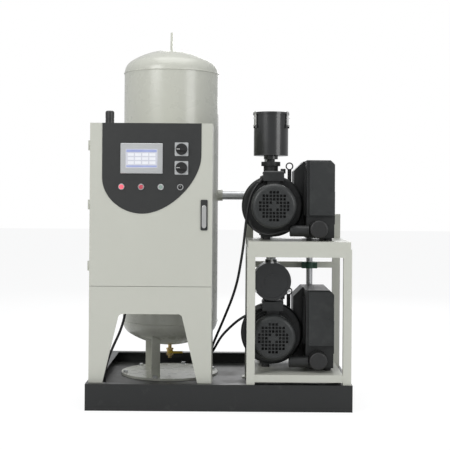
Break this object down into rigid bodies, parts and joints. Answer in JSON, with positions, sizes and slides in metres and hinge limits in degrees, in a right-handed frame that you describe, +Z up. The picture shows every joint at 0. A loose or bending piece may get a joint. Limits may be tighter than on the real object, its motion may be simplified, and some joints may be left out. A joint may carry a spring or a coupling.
{
  "type": "medical vacuum system",
  "caption": "Medical vacuum station: receiver tank, control cabinet with touch panel and stacked oil-lubricated vacuum pumps on a steel base frame.",
  "frame": {"origin": "middle of the base frame's footprint, on the floor", "axes": "+X to the right as seen from the cabinet door, +Y to the back, +Z up"},
  "size_m": [1.3, 1.1, 1.948],
  "materials": {
    "base_black": "semi-gloss black paint",
    "deck_steel": "dark painted sheet",
    "tank_white": "gloss pale paint",
    "cabinet_white": "fine textured pale powder coat",
    "panel_black": "satin black",
    "screen": "lit display glass",
    "bezel_silver": "satin",
    "knob_black": "satin black",
    "lamp_red": "translucent red",
    "button_green": "grey green",
    "steel": "satin",
    "galvanised": "zinc grey",
    "rack_cream": "gloss pale paint",
    "pump_black": "black painted casting",
    "motor_black": "black paint",
    "filter_black": "gloss black paint",
    "pleats": "pleated paper",
    "brass": "satin",
    "lever_yellow": "dipped grip",
    "clamp_green": "moulded",
    "rubber": "matte",
    "gear": "moulded housings"
  },
  "bodies": {
    "station": {"base_long_rails": "base_black", "base_side_rails": "base_black", "deck_bearers": "base_black", "deck_plate": "deck_steel", "tank_vessel": "tank_white", "tank_stand": "tank_white", "drain_valve": "brass", "cabinet_shell": "cabinet_white", "cabinet_stand": "cabinet_white", "door_hinges": "steel", "gear_plate": "galvanised", "control_gear": "gear", "alarm_sounder": "knob_black", "rack_posts": "rack_cream", "rack_rails": "rack_cream", "rack_shelves": "rack_cream", "motor_bodies": "motor_black", "fan_cowls": "motor_black", "pump_housings": "pump_black", "oil_boxes": "pump_black", "oil_box_covers": "pump_black", "oil_filters": "knob_black", "terminal_boxes": "motor_black", "lifting_eyes": "galvanised", "ballast_valves": "knob_black", "inlet_fittings": "pump_black", "pump_feet": "rubber", "filter_cans": "filter_black", "filter_lids": "filter_black", "filter_elements": "pleats", "suction_riser": "galvanised", "suction_header": "galvanised", "exhaust_riser": "galvanised", "pipe_clamp": "clamp_green", "cable_glands": "knob_black", "cable_upper": "rubber", "cable_lower": "rubber", "cable_supply": "rubber", "oil_hose": "rubber"},
    "door": {"cabinet_door": "cabinet_white", "control_panel": "panel_black", "screen_bezel": "bezel_silver", "screen_glass": "screen", "control_bezels": "bezel_silver", "lamp_lenses": "lamp_red", "latch_plate": "bezel_silver"},
    "latch": {"latch_handle": "steel"},
    "start_push": {"start_button": "button_green"},
    "selector": {"selector_knob": "knob_black"},
    "switch_upper": {"switch_knob_upper": "knob_black"},
    "switch_lower": {"switch_knob_lower": "knob_black"},
    "valve_lever": {"drain_lever": "lever_yellow"},
    "fan_upper": {"motor_fan_upper": "knob_black"},
    "fan_lower": {"motor_fan_lower": "knob_black"},
    "filter_clip_upper_1": {"filter_clip_upper_1": "steel"},
    "filter_clip_upper_2": {"filter_clip_upper_2": "steel"},
    "filter_clip_upper_3": {"filter_clip_upper_3": "steel"},
    "filter_clip_lower_1": {"filter_clip_lower_1": "steel"},
    "filter_clip_lower_2": {"filter_clip_lower_2": "steel"},
    "filter_clip_lower_3": {"filter_clip_lower_3": "steel"}
  },
  "joints": [
    {"name": "door_hinge", "type": "hinge", "parent": "station", "child": "door", "pos_m": [-0.644, -0.49, 1], "axis": [0, 0, -1], "range_deg": [0, 110]},
    {"name": "latch_turn", "type": "hinge", "parent": "door", "child": "latch", "pos_m": [-0.078, -0.516, 0.98933], "axis": [0, 1, 0], "range_deg": [0, 90]},
    {"name": "switch_upper_turn", "type": "hinge", "parent": "door", "child": "switch_upper", "pos_m": [-0.19, -0.53, 1.273], "axis": [0, 1, 0], "range_deg": [0, 90]},
    {"name": "switch_lower_turn", "type": "hinge", "parent": "door", "child": "switch_lower", "pos_m": [-0.19, -0.53, 1.182], "axis": [0, 1, 0], "range_deg": [0, 90]},
    {"name": "selector_turn", "type": "hinge", "parent": "door", "child": "selector", "pos_m": [-0.195, -0.52, 1.088], "axis": [0, 1, 0], "range_deg": [-45, 45]},
    {"name": "start_push", "type": "slide", "parent": "door", "child": "start_push", "axis": [0, 1, 0], "range_m": [0, 0.004], "stiffness_N_per_m": 300, "springref_m": -0.002},
    {"name": "drain_lever_turn", "type": "hinge", "parent": "station", "child": "valve_lever", "pos_m": [-0.28, 0.135, 0.186], "axis": [0, 1, 0], "range_deg": [0, 90]},
    {"name": "fan_upper_spin", "type": "hinge", "parent": "station", "child": "fan_upper", "pos_m": [0.265, -0.45, 0.998], "axis": [0, 1, 0], "continuous": true},
    {"name": "fan_lower_spin", "type": "hinge", "parent": "station", "child": "fan_lower", "pos_m": [0.265, -0.45, 0.35], "axis": [0, 1, 0], "continuous": true},
    {"name": "clip_upper_1_swing", "type": "hinge", "parent": "station", "child": "filter_clip_upper_1", "pos_m": [0.26, -0.052, 1.413], "axis": [-1, 0, 0], "range_deg": [0, 120]},
    {"name": "clip_lower_1_swing", "type": "hinge", "parent": "station", "child": "filter_clip_lower_1", "pos_m": [0.26, -0.359, 0.722], "axis": [-1, 0, 0], "range_deg": [0, 60]},
    {"name": "clip_upper_2_swing", "type": "hinge", "parent": "station", "child": "filter_clip_upper_2", "pos_m": [0.17513, -0.199, 1.413], "axis": [0.5, -0.866, 0], "range_deg": [0, 120]},
    {"name": "clip_lower_2_swing", "type": "hinge", "parent": "station", "child": "filter_clip_lower_2", "pos_m": [0.17513, -0.359, 0.575], "axis": [0.5, 0, -0.866], "range_deg": [0, 120]},
    {"name": "clip_upper_3_swing", "type": "hinge", "parent": "station", "child": "filter_clip_upper_3", "pos_m": [0.34487, -0.199, 1.413], "axis": [0.5, 0.866, 0], "range_deg": [0, 120]},
    {"name": "clip_lower_3_swing", "type": "hinge", "parent": "station", "child": "filter_clip_lower_3", "pos_m": [0.34487, -0.359, 0.575], "axis": [0.5, 0, 0.866], "range_deg": [0, 120]}
  ]
}
